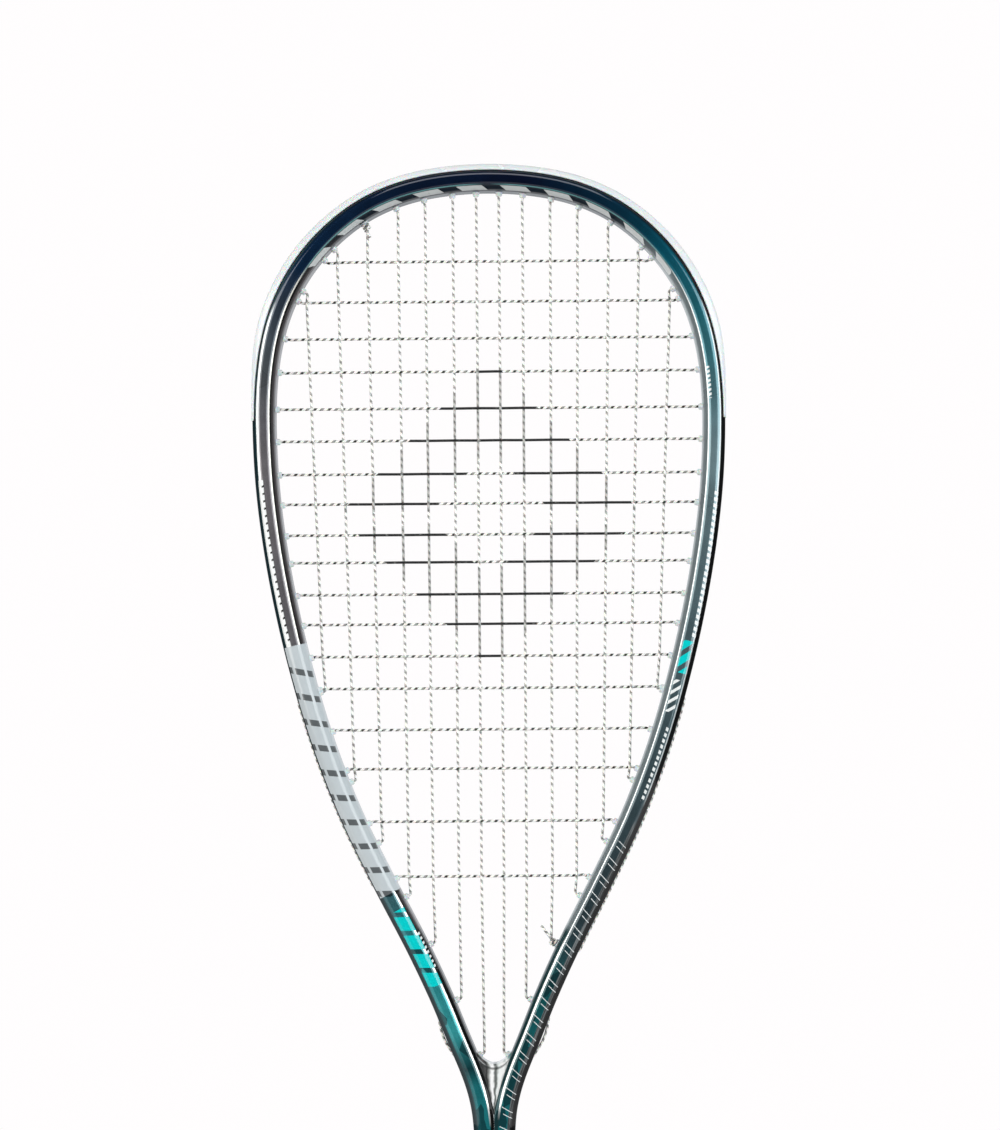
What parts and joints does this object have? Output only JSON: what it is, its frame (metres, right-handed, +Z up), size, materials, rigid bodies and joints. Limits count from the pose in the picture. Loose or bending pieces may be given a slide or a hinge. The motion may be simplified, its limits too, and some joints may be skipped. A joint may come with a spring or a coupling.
{
  "type": "squash racket",
  "caption": "Teardrop-headed squash racket: hollow graphite tube, throat bridge, grommet strips with a head bumper, woven string and a gripped octagonal handle.",
  "frame": {"origin": "middle of the butt cap's flat end", "axes": "+Z up the shaft to the tip of the head, +X to the right in the plane of the strings, front facing -Y"},
  "size_m": [0.2068, 0.0296, 0.6855],
  "materials": {
    "lacquered_graphite": "clear-lacquered graphite laminate, near-black at the tip of the head, grey and teal down the sides",
    "clear_nylon": "translucent pale nylon",
    "string": "smooth nylon monofilament, white with a dark spiral",
    "foam": "moulded rigid polyurethane foam",
    "cap_plastic": "satin moulded plastic",
    "staple_wire": "galvanised wire",
    "grip": "soft perforated polyurethane wrap",
    "tape": "glossy vinyl tape"
  },
  "bodies": {
    "root": {"frame_tube": "lacquered_graphite", "throat_bridge": "lacquered_graphite", "head_bumper": "clear_nylon", "left_side_strip": "clear_nylon", "left_arm_strip": "clear_nylon", "left_throat_grommet_1": "clear_nylon", "left_throat_grommet_2": "clear_nylon", "left_throat_grommet_3": "clear_nylon", "left_end_plug": "foam", "right_side_strip": "clear_nylon", "right_arm_strip": "clear_nylon", "right_throat_grommet_1": "clear_nylon", "right_throat_grommet_2": "clear_nylon", "right_throat_grommet_3": "clear_nylon", "right_end_plug": "foam", "string": "string", "handle_pallet": "foam", "butt_cap": "cap_plastic", "cap_staple_1": "staple_wire", "cap_staple_2": "staple_wire", "cap_staple_3": "staple_wire", "cap_staple_4": "staple_wire", "grip": "grip", "finishing_tape": "tape"}
  },
  "joints": []
}
